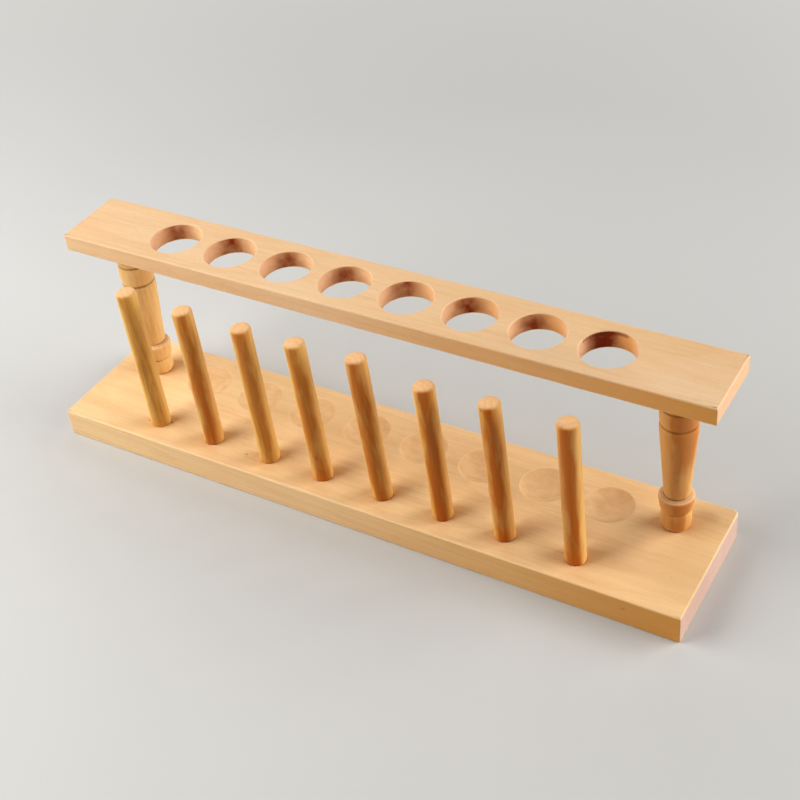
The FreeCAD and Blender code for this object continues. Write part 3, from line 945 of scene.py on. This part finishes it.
def wood(name, look, seed, warmth=0.0, specks_and_shade=(), painted_shade=None):
    """Bare wood. Warmth from -1 to 1 makes a piece paler or more orange than its kind."""
    material = bpy.data.materials.new(name)
    material.use_nodes = True
    net = Net(material)
    draw = random.Random(seed)
    offset = tuple(draw.uniform(-LOG_REACH, LOG_REACH) for _ in range(3))
    plain, place = grain_place(net, look["grain"], offset)
    fields = {
        "streaks": net.noise(place, "streaks"),
        "fibres": net.noise(place, "fibres"),
        "pores": net.spread(net.noise(place, "pores"), 0.67, 0.74),
        "rings": growth_rings(net, plain, place, look),
    }
    surface = wood_tones(net, place, look, warmth, fields)
    if painted_shade:
        surface = painted_shade_and_light(net, plain, place, surface, look, painted_shade)
    surface = worked_tones(net, plain, surface, look, fields, specks_and_shade)

    ridges = net.math("MULTIPLY_ADD", fields["fibres"], 0.6, net.math("MULTIPLY", fields["streaks"], 0.5))
    height = net.math("SUBTRACT", ridges, net.math("MULTIPLY", fields["pores"], 0.5))
    bump = net.node("Bump", {"Strength": BUMP_STRENGTH, "Distance": BUMP_DEPTH, "Height": height}).outputs[0]
    roughness = net.spread(fields["streaks"], 0.3, 0.75, *ROUGHNESS)
    shader = net.node(
        "BsdfPrincipled",
        {"Base Color": surface, "Roughness": roughness, "Normal": bump, "Specular IOR Level": SHEEN},
    )
    net.node("OutputMaterial", {"Surface": shader.outputs[0]})
    return material


# ---------------------------------------------------------------- studio

FLOOR_HALF = 1.5  # in metres
FLOOR_FADE = (0.32, 0.85)  # the floor melts away between these distances from its middle, in metres
FLOOR_COLOUR = (202, 201, 198)
AIR_COLOUR = (236, 234, 230)
AIR_LIGHT = 0.05
BACKDROP = 0.86  # the air's strength as the camera sees it


def make_floor():
    """A pale sheet under the rack that melts into the backdrop all round."""
    half = FLOOR_HALF
    corners = [(-half, -half, 0), (half, -half, 0), (half, half, 0), (-half, half, 0)]
    data = bpy.data.meshes.new("studio_floor")
    data.from_pydata(corners, [], [(0, 1, 2, 3)])
    material = bpy.data.materials.new("pale_paper")
    material.use_nodes = True
    net = Net(material)
    reach = net.vector("LENGTH", net.node("TexCoord", {}).outputs["Object"])
    paper = net.node("BsdfDiffuse", {"Color": colour(*FLOOR_COLOUR)}).outputs[0]
    clear = net.node("BsdfTransparent", {}).outputs[0]
    faded = net.node("MixShader", {0: net.spread(reach, *FLOOR_FADE), 1: paper, 2: clear})
    net.node("OutputMaterial", {"Surface": faded.outputs[0]})
    data.materials.append(material)
    floor = bpy.data.objects.new("studio_floor", data)
    bpy.context.scene.collection.objects.link(floor)


# In millimetres, degrees and millimetres of focal length.
CAMERA_PLACE = (251.18, -339.83, 385.11)
CAMERA_ANGLES = (50.551, 5.681, 30.177)
CAMERA_LENS = 62.84
SUBJECT = Vector((11.7, 4.3, 43.0))  # what the lights aim at


def make_camera():
    data = bpy.data.cameras.new("camera")
    data.lens = CAMERA_LENS
    data.sensor_width = 36.0
    data.sensor_fit = "HORIZONTAL"
    data.clip_start = 0.01
    data.clip_end = 20.0
    camera = bpy.data.objects.new("camera", data)
    camera.location = Vector(CAMERA_PLACE) * MM
    camera.rotation_euler = Euler([math.radians(angle) for angle in CAMERA_ANGLES], "XYZ")
    bpy.context.scene.collection.objects.link(camera)
    bpy.context.scene.camera = camera


# Azimuth and elevation, distance and size in metres, and power. Azimuth 0 is on the -Y side and 90
# on +X. The two lamps at the sides make the rack's middle a little darker than its ends.
LIGHTS = {
    "left_softbox": (-57.0, 33.0, 0.68, (0.68, 0.57), 5.2),
    "right_softbox": (112.0, 22.0, 1.0, (0.96, 0.78), 11.4),
    "back_softbox": (215.0, 42.0, 0.9, (0.8, 0.5), 1.3),
}


def softbox(name, azimuth, elevation, distance, size, power):
    """A soft oblong light aimed at the rack."""
    around, up = math.radians(azimuth), math.radians(elevation)
    back = Vector((math.sin(around) * math.cos(up), -math.cos(around) * math.cos(up), math.sin(up)))
    data = bpy.data.lights.new(name, "AREA")
    data.shape = "RECTANGLE"
    data.size, data.size_y = size
    data.energy = power
    light = bpy.data.objects.new(name, data)
    light.location = SUBJECT * MM + back * distance
    light.rotation_euler = (-back).to_track_quat("-Z", "Y").to_euler()
    bpy.context.scene.collection.objects.link(light)


def make_air():
    """Hardly any light from all round, but a pale backdrop behind the rack."""
    world = bpy.data.worlds.new("studio_air")
    world.use_nodes = True
    net = Net(world)
    seen = net.node("LightPath", {}).outputs["Is Camera Ray"]
    strength = net.spread(seen, 0.0, 1.0, AIR_LIGHT, BACKDROP)
    background = net.node("Background", {"Color": colour(*AIR_COLOUR), "Strength": strength})
    net.node("OutputWorld", {"Surface": background.outputs[0]})
    bpy.context.scene.world = world


def make_studio():
    scene = bpy.context.scene
    scene.view_settings.view_transform = "Standard"
    scene.view_settings.look = "Medium High Contrast"
    make_air()
    for name, light in LIGHTS.items():
        softbox(name, *light)
    make_floor()
    make_camera()


def build():
    make_base_board(wood("base_board_wood", BASE_BOARD, WOOD_SEEDS["base"], specks_and_shade=BASE_SPECKS_AND_SHADE))
    # the marks under the darkest hole's rim are painted shade
    top_specks_and_shade = (*TOP_SPECKS, *rim_shade_marks())
    make_top_board(wood("top_board_wood", TOP_BOARD, WOOD_SEEDS["top"], specks_and_shade=top_specks_and_shade))
    for side, seed in POST_SEEDS.items():
        turn = seed * POST_TURN
        specks_and_shade = turned_specks_and_shade(POST_SPECKS[side], POST_WOOD_RADIUS, turn)
        painted_shade = painted_shade_of(POST_PAINTED_SHADE[side], POST_WOOD_RADIUS, turn)
        wood_seed = WOOD_SEEDS["post"] + seed
        material = wood(f"{side}_post_wood", POST, wood_seed, POST_WARMTH[side], specks_and_shade, painted_shade)
        make_post(side, material)
    for number, peg in enumerate(PEGS, start=1):
        turn, radius = number * PEG_TURN, peg[2]
        specks_and_shade = turned_specks_and_shade(PEG_SPECKS_AND_SHADE.get(number, ()), radius, turn)
        painted_shade = painted_shade_of(PEG_PAINTED_SHADE[number - 1], radius, turn)
        wood_seed, warmth = WOOD_SEEDS["peg"] + number, PEG_WARMTH[number - 1]
        material = wood(f"peg_{number}_wood", PEG, wood_seed, warmth, specks_and_shade, painted_shade)
        make_peg(number, peg, material)
    make_studio()


build()
